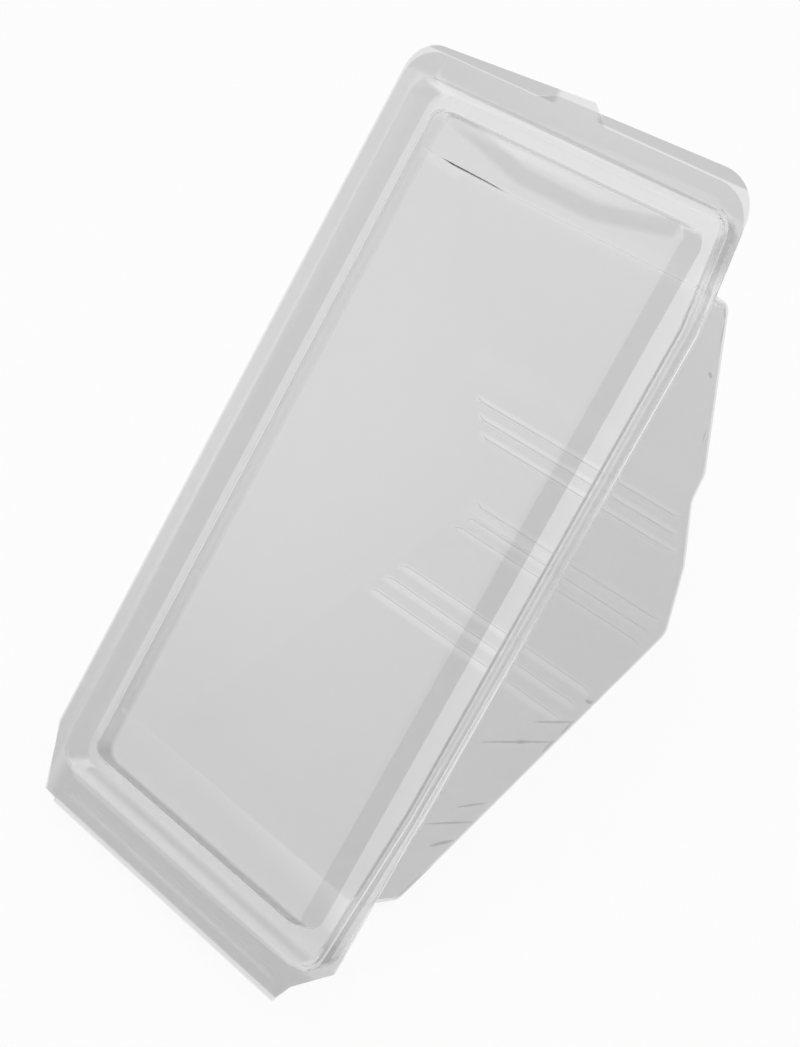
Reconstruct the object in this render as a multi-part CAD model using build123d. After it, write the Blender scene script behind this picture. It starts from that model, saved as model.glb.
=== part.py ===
from build123d import *
from math import cos, hypot, radians, sin, sqrt, tan
import os

# A clear hinged clamshell for a cut sandwich, thermoformed from one thin sheet.
# Two halves of that sheet move against each other at a living hinge:
#   wedge_base   deep three-cornered pocket with its rim and flange
#   hinged_lid   flange, plug groove and raised panel
# Millimetres, +Z up. The pack stands closed on the underside of its wedge, with
# the hinge low in front (-Y) and the back wall upright at +Y.

# Sheet
sheet = 0.45
flange_gap = 0.2

# Lid plane: its slope above the table, and where the hinge lies before the heel
lid_slope = 42.3
hinge_ahead = 21.87
hinge_above = 24.52

# Side profile of the pocket, as outside sizes in the standing position
underside_length = 92.4
toe_rise = 20.8
toe_run = 4.3
lower_back_rise = 21.2
lower_back_lean = 0.7
shoulder_rise = 5.3
shoulder_run = 3.9
upper_back_angle = 0.4
end_wall_depth = 22.43
profile_round = 3.5
shoulder_round = 1.6
side_draft = 4.0
side_edge_round = 2.0

# Flanges, whose two far corners and two hinge corners are not alike
flange_width = 88.0
right_trim = 0.5
lid_left_inset = 1.0
left_corner = 7.0
right_corner = 9.0
right_far_pull_in = 3.0
right_far_pull_in_length = 21.7
fold_end_margin = 9.2
left_knee_across = 5.8
left_knee_along = 0.5
left_chamfer_along = 14.2
right_knee_across = 7.3
right_knee_along = 4.2
right_chamfer_along = 11.9

# Opening tabs: how far they run past the middle and reach past the plain edge
tab_step_run = 4.2
base_tab_past_middle = 1.0
base_tab_reach_middle = 3.5
base_tab_reach_corner = 1.1
lid_tab_past_middle = 7.2
lid_tab_reach_middle = 1.7
lid_tab_reach_corner = 2.7

# Plug groove of the lid and the rim of the base that it drops into
plug_side_margin = 3.2
plug_left_inset = 1.2
plug_hinge_pull_in = 2.0
plug_hinge_pull_in_length = 38.0
plug_hinge_margin = 7.9
plug_tab_margin = 4.9
plug_corner = 5.0
plug_depth = 5.8
plug_draft = 7.5
plug_floor_chamfer = 0.45
rim_clearance = 0.35
rim_depth = 7.2
mouth_side_ledge = 4.4
mouth_tab_ledge = 13.2

# Raised panel of the lid, inset from the plug's outer wall
panel_side_inset = 8.6
panel_hinge_inset = 5.7
panel_tab_inset = 4.8
panel_corner = 3.0
panel_rise = 0.4
panel_draft = 9.0
panel_edge_chamfer = 0.6
bevel_angle = 45.0

# Formed ribs across the legs, pushed inwards
rib_radius = 1.3
rib_end_margin = 5.0
rib_end_run = 3.0
lower_back_rib_start = 7.4
lower_back_rib_pitch = 5.9
toe_rib_from_corner = 3.0
underside_toe_rib_start = 3.4
underside_toe_rib_pitch = 4.0
underside_rib_start = 25.4
underside_rib_pitch = 5.15

# Hinge: a folded bead on the axis, and the crease formed beside it
fold_clearance = 0.3
crease_from_hinge = 3.4
crease_radius = 0.9
crease_end_margin = 3.0
crease_end_run = 2.0

# Spare length of the blocks that are cut away
spare = 10.0

slope = radians(lid_slope)


def along_lid(point):
    """Distance up the lid plane from the hinge, for a profile point."""
    return (point[0] - hinge_point[0]) * cos(slope) + (point[1] - hinge_point[1]) * sin(slope)


def under_lid(point):
    """Depth below the lid plane, for a profile point."""
    return (point[0] - hinge_point[0]) * sin(slope) - (point[1] - hinge_point[1]) * cos(slope)


# The pocket profile as (y, z), with the heel at the origin
hinge_point = (
    -hinge_ahead * cos(slope) - hinge_above * sin(slope),
    -hinge_ahead * sin(slope) + hinge_above * cos(slope),
)
heel = (0.0, 0.0)
toe = (underside_length, 0.0)
toe_top = (toe[0] + toe_run, toe_rise)
shoulder_foot = (toe_top[0] - lower_back_lean, toe_top[1] + lower_back_rise)
shoulder_top = (shoulder_foot[0] + shoulder_run, shoulder_foot[1] + shoulder_rise)

# The upper back leans forward from the shoulder up to the end wall of the pocket
back_angle = radians(upper_back_angle)
wall_length = (under_lid(shoulder_top) - end_wall_depth) / cos(slope - back_angle)
back_top = (
    shoulder_top[0] - wall_length * sin(back_angle),
    shoulder_top[1] + wall_length * cos(back_angle),
)

# Sizes that follow, measured in the lid frame
half_flange = flange_width / 2
half_fold = half_flange - fold_end_margin
half_plug = half_flange - plug_side_margin
plug_start = plug_hinge_margin
half_mouth = half_plug + rim_clearance + sheet - mouth_side_ledge
mouth_end = along_lid(back_top)
plug_end = mouth_end + mouth_tab_ledge - rim_clearance - sheet
flange_length = plug_end + plug_tab_margin
floor_level = -flange_gap / 2 - rim_depth
lid_top = flange_gap / 2 + sheet
deepest = under_lid(toe)

# Everything below is drawn in the lid frame: X across, Y up the lid from the
# hinge axis, Z out of the pack. The parting plane of the two flanges is Z = 0.


def profile_face(inset):
    """The pocket's side profile, in the Y-Z plane, inset by a sheet thickness."""
    corners = [heel, toe, toe_top, shoulder_foot, shoulder_top, back_top]
    points = [(along_lid(p), -under_lid(p)) for p in corners]
    points = [(points[0][0], 0.0)] + points + [(mouth_end, 0.0)]
    outline = Polyline(*points, close=True)
    face = make_face(outline)
    if inset > 0:
        face = offset(face, -inset, kind=Kind.INTERSECTION)
    bends = face.vertices().filter_by(lambda v: v.Y < floor_level)
    inner_bend = bends.sort_by(lambda v: abs(v.X - along_lid(shoulder_foot)))[0]
    outer_bends = [v for v in bends if v is not inner_bend]
    face = fillet(outer_bends, profile_round - inset)
    inner_bend = face.vertices().sort_by(
        lambda v: hypot(v.X - along_lid(shoulder_foot), v.Y + under_lid(shoulder_foot))
    )[0]
    face = fillet(inner_bend, shoulder_round + inset)
    return Plane(origin=(0, 0, 0), x_dir=(0, 1, 0), z_dir=(1, 0, 0)) * face


def pocket(inset):
    """The pocket as a solid block: its profile, drafted at the two side walls."""
    block = extrude(profile_face(inset), flange_width, both=True)
    bottom = -deepest - spare
    narrowing = (floor_level - bottom) * tan(radians(side_draft))
    top = half_mouth - inset
    width_cut = Polyline(
        (-top, floor_level),
        (top, floor_level),
        (top - narrowing, bottom),
        (narrowing - top, bottom),
        close=True,
    )
    wedge = extrude(Plane.XZ * make_face(width_cut), -flange_length - spare)
    block = block & wedge
    side_edges = block.edges().filter_by(lambda e: abs(e.tangent_at(0.5).X) < 0.5)
    side_edges = side_edges.filter_by(lambda e: e.center().Z < floor_level - sheet)
    return fillet(side_edges, side_edge_round - inset)


def rounded(points, corner, level):
    """A face on corner points that runs along the lid, rounded at its two ends."""
    face = make_face(Polyline(*points, close=True))
    start = face.bounding_box().min.Y
    end = face.bounding_box().max.Y
    ends = [v for v in face.vertices() if abs(v.Y - start) < sheet or abs(v.Y - end) < sheet]
    return Pos(0, 0, level) * fillet(ends, corner)


def plug_outline(growth, level):
    """The outline of the plug, grown on all sides, with its right side pulled in at both ends."""
    left = -half_plug + plug_left_inset - growth
    right = half_plug + growth
    start = plug_start - growth
    end = plug_end + growth
    points = [
        (left, start),
        (right - plug_hinge_pull_in, start),
        (right, start + plug_hinge_pull_in_length),
        (right, end - right_far_pull_in_length),
        (right - right_far_pull_in, end),
        (left, end),
    ]
    return rounded(points, plug_corner + growth, level)


def tapered(face, depth, draft):
    """A block going down from a face, narrower below by the draft angle."""
    return extrude(face, amount=depth, dir=(0, 0, -1), taper=draft)


def far_edge(tab_side, past_middle, reach_middle, reach_corner, left_edge):
    """The far end of a flange from right to left, with its tab on one side."""
    step_top = (-tab_side * past_middle, flange_length + reach_middle)
    step_foot = (-tab_side * (past_middle + tab_step_run), flange_length)
    right_end = half_flange - right_trim - right_far_pull_in
    if tab_side > 0:
        tab_end = (right_end, flange_length + reach_corner)
        return [tab_end, step_top, step_foot, (left_edge, flange_length)]
    tab_end = (left_edge, flange_length + reach_corner)
    return [(right_end, flange_length), step_foot, step_top, tab_end]


def bevelled(face, depth, draft, bevel):
    """A tapered block whose lower edge is bevelled."""
    block = tapered(face, depth - bevel, draft)
    floor = block.faces().sort_by(Axis.Z)[0]
    return block + tapered(floor, bevel, bevel_angle)


def flange(far_points, left_edge, level):
    """One flange plate: chamfered at the hinge, rounded and tabbed at its far end."""
    right_edge = half_flange - right_trim
    outline = Polyline(
        (-half_fold, 0.0),
        (half_fold, 0.0),
        (half_flange - right_knee_across, right_knee_along),
        (right_edge, right_chamfer_along),
        (right_edge, far_points[0][1] - right_far_pull_in_length),
        *far_points,
        (left_edge, left_chamfer_along),
        (-half_flange + left_knee_across, left_knee_along),
        close=True,
    )
    plate = make_face(outline)
    right_end = plate.vertices().sort_by_distance((*far_points[0], 0))[0]
    plate = fillet(right_end, right_corner)
    left_end = plate.vertices().sort_by_distance((*far_points[-1], 0))[0]
    plate = fillet(left_end, left_corner)
    return Pos(0, 0, level) * extrude(plate, sheet)


def pointed_bar(radius, half_length, end_run):
    """A round bar across the pack that runs out to a point at both ends."""
    tip = Pos(half_length + end_run / 2, 0, 0) * Cone(radius, 0, end_run, rotation=(0, 90, 0))
    bar = Cylinder(radius, 2 * half_length, rotation=(0, 90, 0))
    return bar + tip + mirror(tip, Plane.YZ)


def rib(mid_point, inset, half_length):
    """The bar of one rib, on a point of the outside profile."""
    radius = rib_radius - inset
    bar = pointed_bar(radius, half_length, rib_end_run * radius / rib_radius)
    return Pos(0, along_lid(mid_point), -under_lid(mid_point)) * bar


def on_face(start, end, distance):
    """The profile point at a distance from start towards end."""
    length = hypot(end[0] - start[0], end[1] - start[1])
    share = distance / length
    return (start[0] + (end[0] - start[0]) * share, start[1] + (end[1] - start[1]) * share)


def half_width_at(point):
    """Half the pocket's outside width at a profile point's depth."""
    return half_mouth - (under_lid(point) + floor_level) * tan(radians(side_draft))


rib_points = [
    on_face(shoulder_foot, toe_top, lower_back_rib_start + i * lower_back_rib_pitch)
    for i in range(3)
]
rib_points += [on_face(toe, toe_top, toe_rib_from_corner)]
rib_points += [
    on_face(toe, heel, underside_toe_rib_start + i * underside_toe_rib_pitch)
    for i in range(2)
]
rib_points += [
    on_face(toe, heel, underside_rib_start + i * underside_rib_pitch) for i in range(3)
]

# Base: flange and rim recess, then the drafted pocket with its ribs
base_edge = far_edge(
    -1, base_tab_past_middle, base_tab_reach_middle, base_tab_reach_corner, -half_flange
)
base = flange(base_edge, -half_flange, -flange_gap / 2 - sheet)
rim_outer = plug_outline(rim_clearance + sheet, -flange_gap / 2)
base += tapered(rim_outer, rim_depth + sheet, plug_draft)
outer_pocket = pocket(0)
base += outer_pocket
rim_inner = plug_outline(rim_clearance, -flange_gap / 2)
base -= tapered(rim_inner, rim_depth, plug_draft)
inner_pocket = pocket(sheet)
base -= inner_pocket
for point in rib_points:
    base += rib(point, 0, half_width_at(point) - rib_end_margin) & outer_pocket
for point in rib_points:
    base -= rib(point, sheet, half_width_at(point) - rib_end_margin)

# Hinge bead of the base: the fold itself, round about the axis
bead_radius = flange_gap / 2 + sheet
base += Cylinder(bead_radius, 2 * half_fold, rotation=(0, 90, 0))

# Lid: flange, plug groove and raised panel
lid_left_edge = -half_flange + lid_left_inset
lid_edge = far_edge(
    1, lid_tab_past_middle, lid_tab_reach_middle, lid_tab_reach_corner, lid_left_edge
)
lid = flange(lid_edge, lid_left_edge, flange_gap / 2)
plug_top = plug_outline(0, flange_gap / 2)
plug_block = bevelled(plug_top, plug_depth + sheet, plug_draft, plug_floor_chamfer)
groove_block = tapered(plug_outline(-sheet, lid_top), plug_depth + sheet, plug_draft)


def panel_block(inset):
    """The raised panel as a solid block, inset by a sheet thickness."""
    top = lid_top + panel_rise - inset
    bevel = panel_edge_chamfer + (sheet - inset) * (2 - sqrt(2))
    half_panel = half_plug - panel_side_inset - inset - bevel
    start = plug_start + panel_hinge_inset + inset + bevel
    end = plug_end - panel_tab_inset - inset - bevel
    corners = [(-half_panel, start), (half_panel, start), (half_panel, end), (-half_panel, end)]
    outline = rounded(corners, panel_corner - inset - bevel, top)
    edge = tapered(outline, bevel, -bevel_angle)
    foot = edge.faces().sort_by(Axis.Z)[0]
    return edge + tapered(foot, panel_rise + plug_depth + 2 * sheet - bevel, -panel_draft)


def below(level):
    """Everything under a level of the lid frame."""
    size = 2 * (flange_width + flange_length)
    return Pos(0, 0, level - size / 2) * Box(size, size, size)


panel_outer = panel_block(0)
lid += plug_block
lid += panel_outer - below(-plug_depth)
lid -= groove_block - panel_outer
lid -= panel_block(sheet)

# Clear the lid from the fold, and form the crease through both flanges
fold_reach = bead_radius + fold_clearance
lid -= Cylinder(fold_reach, 2 * flange_width, rotation=(0, 90, 0))
crease_half = half_fold - crease_end_margin
crease_place = Pos(0, crease_from_hinge, lid_top)


def crease(radius):
    """The bar of the crease, on its line."""
    return crease_place * pointed_bar(radius, crease_half, crease_end_run * radius / crease_radius)


lid += crease(crease_radius) & below(lid_top)
lid -= crease(crease_radius - sheet)
base += crease(crease_radius + fold_clearance + sheet) & below(-flange_gap / 2)
base -= crease(crease_radius + fold_clearance)

# Into the standing position, with the origin under the middle of the pack
stand = Pos(0, hinge_point[0], hinge_point[1]) * Rot(lid_slope, 0, 0)
base = stand * base
lid = stand * lid
box = Compound([base, lid]).bounding_box()
centre = Pos(-box.center().X, -box.center().Y, -box.min.Z)
base = centre * base
lid = centre * lid

axis_point = (centre * stand).position
heel_point = centre.position
print("hinge axis at y, z:", round(axis_point.Y, 3), round(axis_point.Z, 3))
print("heel at y, z:", round(heel_point.Y, 3), round(heel_point.Z, 3))
print("volumes:", round(base.volume, 1), round(lid.volume, 1))

os.makedirs("parts", exist_ok=True)
export_step(base, "parts/wedge_base.step")
export_step(lid, "parts/hinged_lid.step")
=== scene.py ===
"""The dressed look of a clear hinged sandwich wedge pack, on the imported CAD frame."""
import math

import bmesh
import bpy
from mathutils import Matrix, Vector


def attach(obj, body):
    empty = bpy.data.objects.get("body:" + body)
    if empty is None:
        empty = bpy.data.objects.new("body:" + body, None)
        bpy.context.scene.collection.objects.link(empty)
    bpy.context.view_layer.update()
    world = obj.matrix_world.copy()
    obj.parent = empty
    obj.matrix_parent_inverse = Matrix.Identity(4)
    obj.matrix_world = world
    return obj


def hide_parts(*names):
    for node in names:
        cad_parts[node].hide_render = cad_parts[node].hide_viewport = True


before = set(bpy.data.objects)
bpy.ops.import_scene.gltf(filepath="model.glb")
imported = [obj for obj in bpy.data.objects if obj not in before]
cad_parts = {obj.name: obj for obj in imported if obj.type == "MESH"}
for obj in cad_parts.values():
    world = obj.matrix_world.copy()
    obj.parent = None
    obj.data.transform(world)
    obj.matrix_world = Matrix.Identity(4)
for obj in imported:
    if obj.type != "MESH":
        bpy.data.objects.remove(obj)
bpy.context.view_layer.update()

scene = bpy.context.scene
scene.view_settings.view_transform = "Standard"
scene.cycles.max_bounces = 12
scene.cycles.transmission_bounces = 12
scene.cycles.transparent_max_bounces = 24
scene.cycles.glossy_bounces = 3

# The photograph's camera, from its measured place, direction and roll
camera_place = (0.18621, -0.15589, 0.30554)
camera_azimuth = 48.551
camera_elevation = 45.400
camera_roll = -5.283
camera_lens = 59.90
camera_sensor = 36.0

# Clear sheet: its haze, its slight bend of light and its gloss, which fades where the sheet is seen edge on
sheet_haze = 0.05
sheet_ior = 1.04
gloss_ior = 1.40
gloss_spread = 0.26
gloss_fade = (0.85, 0.6)

# Light goes straight on for shadows, and after so many meetings with the sheet or so many turns back
through_tint = 0.92
most_meetings = 8.5
most_turns = 0.5

# Unevenness of the sheet: the size of its slow and fine waves, the share of the fine ones, and how deep
slow_waves = 38.0
fine_waves = 110.0
fine_share = 0.02
slow_detail = 1.0
fine_detail = 2.0
wave_depth = 0.001
base_wave_strength = 0.10
lid_wave_strength = 0.06

# Lid plane of the pack: its hinge line (y, z) in metres and its slope
hinge_line = (-0.066182, 0.003417)
lid_slope = math.radians(42.3)
in_millimetres = 1000.0
panel_out = 0.55

# What one thickness of sheet lets through, from the flats to the drawn walls; some tones are painted shade or
# painted highlight, as marked
plain_pass = 0.83
flange_pass = 0.80
far_flange_pass = 0.76
near_flange_pass = 0.76
groove_pass = 0.92
clear_pass = 0.985
near_wall_pass = 0.86
end_wall_pass = 0.88
# Painted shade: the groove's and the rim's walls that face the sides are darker than the plain sheet
left_wall_shade_pass = 0.805
panel_side_shade_pass = 0.755
# Painted shade: the base's right side wall is darker
right_side_shade_pass = 0.71
# Painted highlight: the ribs are lighter than the plain sheet
rib_highlight_pass = 0.90
toe_rib_highlight_pass = 0.85
tab_pass = 0.56
# Painted shade: dark lines on the creases and dents of the side wall, and a short one in the groove's near
# corner
dark_line_pass = 0.38
# Painted shade: dark lines along the groove's edges
groove_edge_shade_pass = 0.55
# Painted shade: the soft dark arc near the panel's far edge
arc_shade_pass = 0.72
# Painted shade: darker towards the foot, down to this share at the floor over the pack's height in
# millimetres
foot_shade_share = 0.93
pack_height = 124.0

# How far a face turns from the lid plane to be steep, and towards the sides to be a side, as cosines
steep_from_lid = (0.8, 0.45)
turned_to_side = (0.4, 0.7)

# Soft steps between the tones, each with its start and its end in millimetres in the lid's own directions
left_flange_across = (-39.0, -40.0)
far_flange_along = (170.0, 171.5)
far_corner_along = (158.0, 165.0)
far_corner_across = (37.5, 39.5)
lid_right_flange_across = (36.5, 38.5)
base_right_flange_across = (33.0, 36.0)
right_flange_far_end = (163.0, 157.0)
right_flange_near_end = (10.0, 24.0)
near_flange_along = (9.0, 7.5)
near_flange_across = (-39.0, -35.0)
tab_along = (175.8, 176.2)
lid_tab_across = (3.0, 5.0)
base_tab_across = (-6.5, -8.0)
groove_out = (-3.0, -4.5)
near_wall_along = (17.0, 14.0)
lid_left_wall_across = (-34.0, -35.0)
panel_side_start = (28.0, 30.0)
panel_side_stop = (37.0, 36.0)
rim_out = (-9.0, -8.2)
base_left_wall_across = (-30.0, -34.0)
end_wall_along = (155.5, 157.0)
right_side_across = (10.0, 20.0)
right_side_out = (-8.5, -16.0)

# Formed ribs across the legs, three to a group: the middle rib's place and the pitch in millimetres
back_ribs_place = (28.7, 5.9)
front_ribs_place = (28.3, 5.15)
toe_ribs_place = (55.5, 4.0)
rib_half_length = 30.5
rib_end_fade = 1.5
rib_half_width = 1.5
rib_core = 0.4
foot_height = (4.5, 3.5)
back_forward = (60.5, 61.5)
back_height = (18.0, 20.0)

# Creases in the right side wall and along its foot, as points on the pack in millimetres, drawn as dark lines
# of painted shade; the dents below likewise
side_creases = [
    ((36.5, 63.1, 94.7), (36.4, 64.0, 91.0)),
    ((36.4, 64.0, 91.0), (36.1, 63.4, 85.2)),
    ((35.0, 62.6, 62.7), (34.8, 61.8, 59.6)),
    ((35.1, 9.4, 17.8), (33.6, 24.2, 2.3)),
    ((36.5, -7.4, 28.6), (34.0, 17.3, 2.2)),
    ((36.1, -15.1, 14.2), (35.2, -5.9, 5.1)),
    ((36.8, -24.7, 19.3), (35.3, -9.7, 2.4)),
]
side_dents = [
    ((35.9, 60.7, 79.7), (35.8, 62.0, 77.7)),
    ((33.7, 27.8, 6.3), (33.4, 30.2, 3.1)),
    ((35.4, 3.4, 17.0), (35.0, 7.0, 13.2)),
    ((36.3, -23.4, 9.7), (35.6, -16.7, 3.5)),
    ((36.4, -33.0, 2.6), (35.9, -23.0, 1.6)),
    ((33.9, 19.6, 3.0), (33.9, 23.0, 3.4)),
    ((34.2, 13.2, 3.2), (34.2, 16.4, 3.6)),
]

# A short dark line in the groove's near corner, and the soft arc of painted shade near the panel's far edge
corner_marks = [((27.5, -56.0, 12.6), (31.8, -53.4, 10.4))]
painted_shade_arc = [
    ((-26.0, 55.6, 115.6), (-5.3, 52.1, 112.4)),
    ((-5.3, 52.1, 112.4), (12.8, 52.0, 112.3)),
    ((12.8, 52.0, 112.3), (29.0, 54.6, 114.6)),
]

# Edges of the groove round the panel, as points (across, along) on the lid, drawn as dark lines of painted
# shade, as is the groove's far end below
groove_edges = [
    ((39.4, 15.0), (41.0, 45.9)),
    ((41.0, 45.9), (41.0, 149.1)),
    ((41.0, 149.1), (38.6, 166.0)),
    ((-31.9, 16.0), (-31.9, 163.0)),
    ((36.9, 21.0), (36.2, 12.5)),
]
groove_end = [((-35.0, 170.6), (35.5, 170.6))]

# Each kind of line: its half width in millimetres, and how far its ends are drawn to points
crease_line = (0.4, 0.8)
dent_line = (0.65, 0.5)
corner_line = (0.5, 0.8)
arc_shade_line = (2.4, 0.0)
groove_line = (0.35, 0.0)
groove_end_line = (0.7, 0.6)
line_core = 0.4

# Floor, room and lamps: place, size and power
floor_half_size = 3.0
floor_glow = 0.85
floor_colour = 0.86
floor_roughness = 0.9
room_grey = 0.75
lamps_aim = (0, 0, 0.05)
lamps = {
    "key lamp": ((-0.60, -0.30, 1.05), 0.35, 2.0),
    "soft front lamp": ((-0.72, -0.84, 0.73), 0.4, 1.1),
    "fill lamp": ((0.9, 0.2, 0.8), 0.8, 3.0),
}

# Welding and shading of the formed halves
merge_reach = 1e-6
smooth_angle = 20.0
flat_weight = 100


def add_camera():
    """The camera of the photograph."""
    data = bpy.data.cameras.new("camera")
    data.lens = camera_lens
    data.sensor_width = camera_sensor
    camera = bpy.data.objects.new("camera", data)
    azimuth = math.radians(camera_azimuth)
    tilt = math.pi / 2 - math.radians(camera_elevation)
    turn = Matrix.Rotation(azimuth, 4, "Z") @ Matrix.Rotation(tilt, 4, "X")
    roll = Matrix.Rotation(math.radians(camera_roll), 4, "Z")
    camera.matrix_world = Matrix.Translation(camera_place) @ turn @ roll
    scene.collection.objects.link(camera)
    scene.camera = camera


def grey(value):
    """A neutral colour."""
    return (value, value, value, 1.0)


def feed(tree, slot, term):
    """A plain number set on a slot, or a socket linked to it."""
    if isinstance(term, (int, float)):
        slot.default_value = term
    else:
        tree.links.new(term, slot)


def calc(tree, operation, *terms):
    """One step of arithmetic on sockets and plain numbers."""
    node = tree.nodes.new("ShaderNodeMath")
    node.operation = operation
    for slot, term in zip(node.inputs, terms):
        feed(tree, slot, term)
    return node.outputs["Value"]


def vector_calc(tree, operation, first, second, output="Value"):
    """One step of vector arithmetic on a socket and a socket or a fixed vector."""
    node = tree.nodes.new("ShaderNodeVectorMath")
    node.operation = operation
    tree.links.new(first, node.inputs[0])
    if isinstance(second, tuple):
        node.inputs[1].default_value = second
    else:
        tree.links.new(second, node.inputs[1])
    return node.outputs[output]


def ramp(tree, value, step):
    """A mask that rises softly from none at the step's start to full at its end."""
    node = tree.nodes.new("ShaderNodeMapRange")
    node.interpolation_type = "SMOOTHSTEP"
    feed(tree, node.inputs["Value"], value)
    node.inputs["From Min"].default_value = step[0]
    node.inputs["From Max"].default_value = step[1]
    return node.outputs["Result"]


def overlap(tree, first, *others):
    """Where all of the masks are full."""
    for mask in others:
        first = calc(tree, "MULTIPLY", first, mask)
    return first


def either(tree, first, *others):
    """Where any of the masks is full."""
    for mask in others:
        first = calc(tree, "MAXIMUM", first, mask)
    return first


def blend_to(tree, value, target, mask):
    """A value that goes over to a target where the mask is full."""
    node = tree.nodes.new("ShaderNodeMix")
    feed(tree, node.inputs["Factor"], mask)
    feed(tree, node.inputs["A"], value)
    feed(tree, node.inputs["B"], target)
    return node.outputs["Result"]


def on_lid(across, along):
    """A point on the lid's panel, as a place on the pack in millimetres."""
    hinge_y, hinge_z = (in_millimetres * value for value in hinge_line)
    return (
        across,
        hinge_y + along * math.cos(lid_slope) - panel_out * math.sin(lid_slope),
        hinge_z + along * math.sin(lid_slope) + panel_out * math.cos(lid_slope),
    )


def build_place_group():
    """Where a point of the sheet lies, on the pack and in the lid's own directions, and how it faces."""
    group = bpy.data.node_groups.new("place on the pack", "ShaderNodeTree")
    group.interface.new_socket("Here", in_out="OUTPUT", socket_type="NodeSocketVector")
    for name in ("Across", "Along", "Out", "Forward", "Height", "Steep", "Sideways"):
        group.interface.new_socket(name, in_out="OUTPUT", socket_type="NodeSocketFloat")
    nodes, links = group.nodes, group.links
    out = nodes.new("NodeGroupOutput")
    place = nodes.new("ShaderNodeTexCoord")
    here = vector_calc(group, "MULTIPLY", place.outputs["Object"], (in_millimetres,) * 3, "Vector")
    links.new(here, out.inputs["Here"])
    rise = math.sin(lid_slope)
    run = math.cos(lid_slope)
    hinge_y, hinge_z = (in_millimetres * value for value in hinge_line)
    turn = nodes.new("ShaderNodeMapping")
    turn.inputs["Rotation"].default_value = (-lid_slope, 0.0, 0.0)
    turn.inputs["Location"].default_value = (
        0.0,
        -hinge_y * run - hinge_z * rise,
        hinge_y * rise - hinge_z * run,
    )
    links.new(here, turn.inputs["Vector"])
    parts = nodes.new("ShaderNodeSeparateXYZ")
    links.new(turn.outputs["Vector"], parts.inputs["Vector"])
    links.new(parts.outputs["X"], out.inputs["Across"])
    links.new(parts.outputs["Y"], out.inputs["Along"])
    links.new(parts.outputs["Z"], out.inputs["Out"])
    upright = nodes.new("ShaderNodeSeparateXYZ")
    links.new(here, upright.inputs["Vector"])
    links.new(upright.outputs["Y"], out.inputs["Forward"])
    links.new(upright.outputs["Z"], out.inputs["Height"])
    for name, direction, step in (
        ("Steep", (0.0, -rise, run), steep_from_lid),
        ("Sideways", (1.0, 0.0, 0.0), turned_to_side),
    ):
        along_it = vector_calc(group, "DOT_PRODUCT", place.outputs["Normal"], direction)
        links.new(ramp(group, calc(group, "ABSOLUTE", along_it), step), out.inputs[name])
    return group


def build_line_group():
    """A soft line on the sheet from a point over a run, in millimetres, with its ends drawn to points."""
    group = bpy.data.node_groups.new("line on the sheet", "ShaderNodeTree")
    for name in ("Here", "From", "Run", "Run Inverse"):
        group.interface.new_socket(name, in_out="INPUT", socket_type="NodeSocketVector")
    for name in ("Half Width", "Pointed"):
        group.interface.new_socket(name, in_out="INPUT", socket_type="NodeSocketFloat")
    group.interface.new_socket("Mask", in_out="OUTPUT", socket_type="NodeSocketFloat")
    nodes, links = group.nodes, group.links
    entry = nodes.new("NodeGroupInput")
    out = nodes.new("NodeGroupOutput")
    reach = vector_calc(group, "SUBTRACT", entry.outputs["Here"], entry.outputs["From"], "Vector")
    held = nodes.new("ShaderNodeClamp")
    share = vector_calc(group, "DOT_PRODUCT", reach, entry.outputs["Run Inverse"])
    links.new(share, held.inputs["Value"])
    foot = nodes.new("ShaderNodeVectorMath")
    foot.operation = "SCALE"
    links.new(entry.outputs["Run"], foot.inputs["Vector"])
    links.new(held.outputs["Result"], foot.inputs["Scale"])
    gap = vector_calc(group, "DISTANCE", reach, foot.outputs["Vector"])
    from_middle = calc(group, "MULTIPLY_ADD", held.outputs["Result"], 2.0, -1.0)
    near_an_end = calc(group, "MULTIPLY", from_middle, from_middle)
    thinner = calc(group, "MULTIPLY", near_an_end, entry.outputs["Pointed"])
    width = calc(group, "MULTIPLY", entry.outputs["Half Width"], calc(group, "SUBTRACT", 1.0, thinner))
    links.new(ramp(group, calc(group, "DIVIDE", gap, width), (1.0, line_core)), out.inputs["Mask"])
    return group


def build_waviness_group():
    """The slow unevenness of a thermoformed sheet, as a height."""
    group = bpy.data.node_groups.new("sheet waviness", "ShaderNodeTree")
    for name in ("Slow Size", "Fine Size", "Fine Share"):
        group.interface.new_socket(name, in_out="INPUT", socket_type="NodeSocketFloat")
    group.interface.new_socket("Height", in_out="OUTPUT", socket_type="NodeSocketFloat")
    nodes, links = group.nodes, group.links
    entry = nodes.new("NodeGroupInput")
    out = nodes.new("NodeGroupOutput")
    place = nodes.new("ShaderNodeTexCoord")
    waves = []
    for size, detail in (("Slow Size", slow_detail), ("Fine Size", fine_detail)):
        noise = nodes.new("ShaderNodeTexNoise")
        noise.inputs["Detail"].default_value = detail
        links.new(place.outputs["Object"], noise.inputs["Vector"])
        links.new(entry.outputs[size], noise.inputs["Scale"])
        waves.append(noise.outputs["Fac"])
    fine = calc(group, "MULTIPLY", waves[1], entry.outputs["Fine Share"])
    links.new(calc(group, "ADD", waves[0], fine), out.inputs["Height"])
    return group


def lines(tree, place, marks, kind):
    """The mask of several soft lines of one kind."""
    masks = []
    for start, end in marks:
        line = tree.nodes.new("ShaderNodeGroup")
        line.node_tree = line_group
        run = Vector(end) - Vector(start)
        tree.links.new(place.outputs["Here"], line.inputs["Here"])
        line.inputs["From"].default_value = start
        line.inputs["Run"].default_value = run
        line.inputs["Run Inverse"].default_value = run / run.length_squared
        line.inputs["Half Width"].default_value = kind[0]
        line.inputs["Pointed"].default_value = kind[1]
        masks.append(line.outputs["Mask"])
    return either(tree, *masks)


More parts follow.
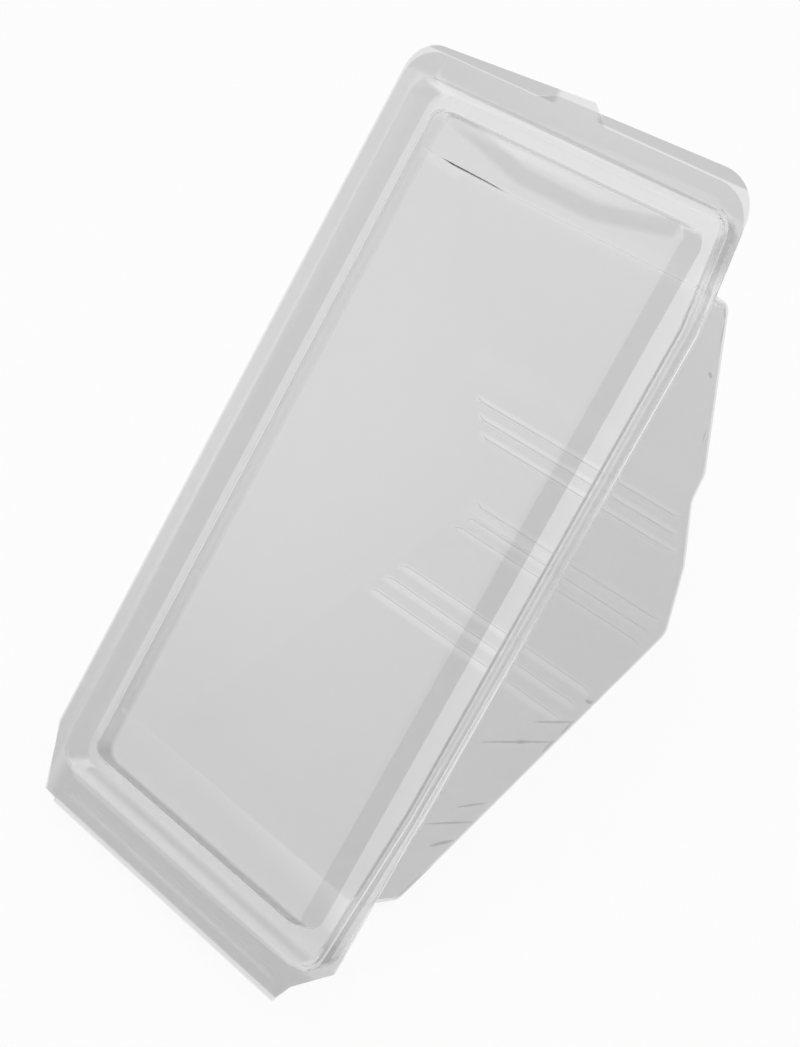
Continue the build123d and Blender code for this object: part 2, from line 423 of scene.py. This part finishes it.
def lid_lines(tree, place, marks, kind):
    """The mask of soft lines that are given on the lid's panel."""
    return lines(tree, place, [(on_lid(*start), on_lid(*end)) for start, end in marks], kind)


def three_ribs(tree, value, ribs_place):
    """The mask of three ribs side by side, about a middle one and at one pitch."""
    middle, pitch = ribs_place
    from_middle = calc(tree, "ABSOLUTE", calc(tree, "SUBTRACT", value, middle))
    from_outer = calc(tree, "ABSOLUTE", calc(tree, "SUBTRACT", from_middle, pitch))
    nearest = calc(tree, "MINIMUM", from_middle, from_outer)
    return ramp(tree, nearest, (rib_half_width, rib_core * rib_half_width))


def toned(tree, place, tones):
    """The plain tone, gone over to each tone where its mask is full, and darker towards the foot by painted
    shade.
    """
    value = plain_pass
    for tone, mask in tones:
        value = blend_to(tree, value, tone, mask)
    fall = tree.nodes.new("ShaderNodeMapRange")
    fall.inputs["From Max"].default_value = pack_height
    fall.inputs["To Min"].default_value = foot_shade_share
    tree.links.new(place.outputs["Height"], fall.inputs["Value"])
    return calc(tree, "MULTIPLY", value, fall.outputs["Result"])


def lid_pass(tree, place):
    """What the lid's sheet lets through, place by place, with painted shade on its side walls, groove edges
    and far arc.
    """
    across, along, out, steep = (place.outputs[name] for name in ("Across", "Along", "Out", "Steep"))
    left_flange = ramp(tree, across, left_flange_across)
    right_flange = overlap(
        tree,
        ramp(tree, across, lid_right_flange_across),
        ramp(tree, along, right_flange_far_end),
        ramp(tree, along, right_flange_near_end),
    )
    far_corner = overlap(tree, ramp(tree, along, far_corner_along), ramp(tree, across, far_corner_across))
    far_flange = either(tree, ramp(tree, along, far_flange_along), far_corner)
    near_flange = overlap(tree, ramp(tree, along, near_flange_along), ramp(tree, across, near_flange_across))
    tab = overlap(tree, ramp(tree, along, tab_along), ramp(tree, across, lid_tab_across))
    groove = ramp(tree, out, groove_out)
    near_wall = overlap(tree, either(tree, steep, groove), ramp(tree, along, near_wall_along))
    sideways = overlap(tree, steep, place.outputs["Sideways"])
    left_wall = overlap(tree, sideways, ramp(tree, across, lid_left_wall_across))
    at_panel_side = overlap(tree, ramp(tree, across, panel_side_start), ramp(tree, across, panel_side_stop))
    panel_side = overlap(tree, sideways, at_panel_side)
    return toned(tree, place, [
        (flange_pass, left_flange),
        (far_flange_pass, far_flange),
        (near_flange_pass, near_flange),
        (groove_pass, either(tree, groove, right_flange)),
        (tab_pass, tab),
        (clear_pass, steep),
        (near_wall_pass, near_wall),
        (left_wall_shade_pass, left_wall),
        (panel_side_shade_pass, panel_side),
        (arc_shade_pass, lines(tree, place, painted_shade_arc, arc_shade_line)),
        (groove_edge_shade_pass, lid_lines(tree, place, groove_edges, groove_line)),
        (groove_edge_shade_pass, lid_lines(tree, place, groove_end, groove_end_line)),
        (dark_line_pass, lines(tree, place, corner_marks, corner_line)),
    ])


def base_pass(tree, place):
    """What the base's sheet lets through, place by place, with painted shade on its side walls, creases and
    dents, and a painted highlight on its ribs.
    """
    across, along, out, steep = (place.outputs[name] for name in ("Across", "Along", "Out", "Steep"))
    forward, height = (place.outputs[name] for name in ("Forward", "Height"))
    rim = ramp(tree, out, rim_out)
    left_flange = overlap(tree, rim, ramp(tree, across, left_flange_across))
    right_flange = overlap(
        tree,
        rim,
        ramp(tree, across, base_right_flange_across),
        ramp(tree, along, right_flange_far_end),
        ramp(tree, along, right_flange_near_end),
    )
    far_flange = overlap(tree, rim, ramp(tree, along, far_flange_along))
    near_flange = overlap(
        tree,
        rim,
        ramp(tree, along, near_flange_along),
        ramp(tree, across, near_flange_across),
    )
    tab = overlap(tree, ramp(tree, along, tab_along), ramp(tree, across, base_tab_across))
    rib_reach = (rib_half_length, rib_half_length - rib_end_fade)
    inside = ramp(tree, calc(tree, "ABSOLUTE", across), rib_reach)
    on_foot = ramp(tree, height, foot_height)
    on_back = overlap(tree, ramp(tree, forward, back_forward), ramp(tree, height, back_height))
    back_ribs = overlap(tree, on_back, three_ribs(tree, height, back_ribs_place))
    front_ribs = overlap(tree, on_foot, three_ribs(tree, forward, front_ribs_place))
    toe_ribs = overlap(tree, on_foot, three_ribs(tree, forward, toe_ribs_place))
    sideways = overlap(tree, steep, place.outputs["Sideways"])
    rim_wall = overlap(tree, steep, rim)
    end_wall = overlap(tree, steep, ramp(tree, along, end_wall_along))
    left_wall = overlap(tree, sideways, rim, ramp(tree, across, base_left_wall_across))
    right_side = overlap(
        tree,
        sideways,
        ramp(tree, across, right_side_across),
        ramp(tree, out, right_side_out),
    )
    return toned(tree, place, [
        (flange_pass, left_flange),
        (far_flange_pass, far_flange),
        (near_flange_pass, near_flange),
        (clear_pass, right_flange),
        (tab_pass, tab),
        (rib_highlight_pass, overlap(tree, inside, either(tree, back_ribs, front_ribs))),
        (toe_rib_highlight_pass, overlap(tree, inside, toe_ribs)),
        (clear_pass, rim_wall),
        (end_wall_pass, end_wall),
        (left_wall_shade_pass, left_wall),
        (right_side_shade_pass, right_side),
        (dark_line_pass, lines(tree, place, side_creases, crease_line)),
        (dark_line_pass, lines(tree, place, side_dents, dent_line)),
    ])


def add_waves(tree, shader, wave_strength):
    """The slow waves of the sheet, as a bump."""
    waves = tree.nodes.new("ShaderNodeGroup")
    waves.node_tree = waviness_group
    waves.inputs["Slow Size"].default_value = slow_waves
    waves.inputs["Fine Size"].default_value = fine_waves
    waves.inputs["Fine Share"].default_value = fine_share
    bump = tree.nodes.new("ShaderNodeBump")
    bump.inputs["Strength"].default_value = wave_strength
    bump.inputs["Distance"].default_value = wave_depth
    tree.links.new(waves.outputs["Height"], bump.inputs["Height"])
    tree.links.new(bump.outputs["Normal"], shader.inputs["Normal"])


def goes_straight_on(tree):
    """One for light on its way to a shadow, and for light that has met the sheet often enough."""
    path = tree.nodes.new("ShaderNodeLightPath")
    met_often = calc(tree, "GREATER_THAN", path.outputs["Ray Depth"], most_meetings)
    turned_back = calc(tree, "GREATER_THAN", path.outputs["Glossy Depth"], most_turns)
    return either(tree, path.outputs["Is Shadow Ray"], met_often, turned_back)


def clear_sheet(name, passing, wave_strength):
    """Clear thermoformed sheet, faintly grey, that lets the lamps through to the floor."""
    material = bpy.data.materials.new(name)
    material.use_nodes = True
    tree = material.node_tree
    nodes, links = tree.nodes, tree.links
    shader = nodes["Principled BSDF"]
    place = nodes.new("ShaderNodeGroup")
    place.node_tree = place_group
    links.new(passing(tree, place), shader.inputs["Base Color"])
    shader.inputs["Roughness"].default_value = sheet_haze
    shader.inputs["IOR"].default_value = sheet_ior
    shader.inputs["Transmission Weight"].default_value = 1.0
    shader.inputs["Coat IOR"].default_value = gloss_ior
    shader.inputs["Coat Roughness"].default_value = gloss_spread
    view = nodes.new("ShaderNodeLayerWeight")
    side = nodes.new("ShaderNodeNewGeometry")
    outer = calc(tree, "SUBTRACT", 1.0, side.outputs["Backfacing"])
    gloss = overlap(tree, outer, ramp(tree, view.outputs["Facing"], gloss_fade))
    links.new(gloss, shader.inputs["Coat Weight"])
    add_waves(tree, shader, wave_strength)
    through = nodes.new("ShaderNodeBsdfTransparent")
    through.inputs["Color"].default_value = grey(through_tint)
    mix = nodes.new("ShaderNodeMixShader")
    links.new(goes_straight_on(tree), mix.inputs["Fac"])
    links.new(shader.outputs["BSDF"], mix.inputs[1])
    links.new(through.outputs["BSDF"], mix.inputs[2])
    links.new(mix.outputs["Shader"], nodes["Material Output"].inputs["Surface"])
    return material


def formed_half(name, node_name, body, material):
    """A welded, smoothly shaded copy of one half of the sheet, which stands for its node."""
    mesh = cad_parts[node_name].data.copy()
    mesh.name = name
    shape = bmesh.new()
    shape.from_mesh(mesh)
    bmesh.ops.remove_doubles(shape, verts=shape.verts, dist=merge_reach)
    shape.to_mesh(mesh)
    shape.free()
    mesh.shade_smooth()
    mesh.set_sharp_from_angle(angle=math.radians(smooth_angle))
    mesh.materials.clear()
    mesh.materials.append(material)
    piece = bpy.data.objects.new(name, mesh)
    scene.collection.objects.link(piece)
    flats_stay_flat = piece.modifiers.new("flats stay flat", "WEIGHTED_NORMAL")
    flats_stay_flat.keep_sharp = True
    flats_stay_flat.weight = flat_weight
    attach(piece, body)
    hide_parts(node_name)
    return piece


def seen_or_through(tree):
    """One for the rays that the camera sends, also by way of glass or gloss."""
    path = tree.nodes.new("ShaderNodeLightPath")
    return either(tree, *(path.outputs[f"Is {kind} Ray"] for kind in ("Camera", "Transmission", "Glossy")))


def add_floor():
    """A white floor that keeps the pack's soft shadow."""
    mesh = bpy.data.meshes.new("floor")
    floor = bpy.data.objects.new("floor", mesh)
    scene.collection.objects.link(floor)
    shape = bmesh.new()
    bmesh.ops.create_grid(shape, x_segments=1, y_segments=1, size=floor_half_size)
    shape.to_mesh(mesh)
    shape.free()
    material = bpy.data.materials.new("floor")
    material.use_nodes = True
    tree = material.node_tree
    nodes, links = tree.nodes, tree.links
    shader = nodes["Principled BSDF"]
    shader.inputs["Base Color"].default_value = grey(floor_colour)
    shader.inputs["Roughness"].default_value = floor_roughness
    shader.inputs["Specular IOR Level"].default_value = 0.0
    glow = nodes.new("ShaderNodeEmission")
    glow.inputs["Color"].default_value = grey(1.0)
    glow.inputs["Strength"].default_value = 1.0
    mix = nodes.new("ShaderNodeMixShader")
    links.new(calc(tree, "MULTIPLY", seen_or_through(tree), floor_glow), mix.inputs["Fac"])
    links.new(shader.outputs["BSDF"], mix.inputs[1])
    links.new(glow.outputs["Emission"], mix.inputs[2])
    links.new(mix.outputs["Shader"], nodes["Material Output"].inputs["Surface"])
    mesh.materials.append(material)


def add_world():
    """Soft even light, and a white background."""
    world = bpy.data.worlds.new("world")
    scene.world = world
    world.use_nodes = True
    tree = world.node_tree
    mix = tree.nodes.new("ShaderNodeMix")
    mix.data_type = "RGBA"
    shade = mix.inputs[6]
    white = mix.inputs[7]
    shade.default_value = grey(room_grey)
    white.default_value = grey(1.0)
    tree.links.new(seen_or_through(tree), mix.inputs["Factor"])
    tree.links.new(mix.outputs[2], tree.nodes["Background"].inputs["Color"])


def add_lamp(name, place, size, power):
    """A square soft lamp that points at the pack."""
    data = bpy.data.lights.new(name, "AREA")
    data.size = size
    data.energy = power
    lamp = bpy.data.objects.new(name, data)
    lamp.location = place
    aim = Vector(lamps_aim) - Vector(place)
    lamp.rotation_euler = aim.to_track_quat("-Z", "Y").to_euler()
    scene.collection.objects.link(lamp)


place_group = build_place_group()
line_group = build_line_group()
waviness_group = build_waviness_group()
base_sheet = clear_sheet("clear base sheet", base_pass, base_wave_strength)
lid_sheet = clear_sheet("clear lid sheet", lid_pass, lid_wave_strength)
formed_half("formed_base", "wedge_base", "base", base_sheet)
formed_half("formed_lid", "hinged_lid", "lid", lid_sheet)

add_camera()
add_floor()
add_world()
for lamp_name, (lamp_place, lamp_size, lamp_power) in lamps.items():
    add_lamp(lamp_name, lamp_place, lamp_size, lamp_power)
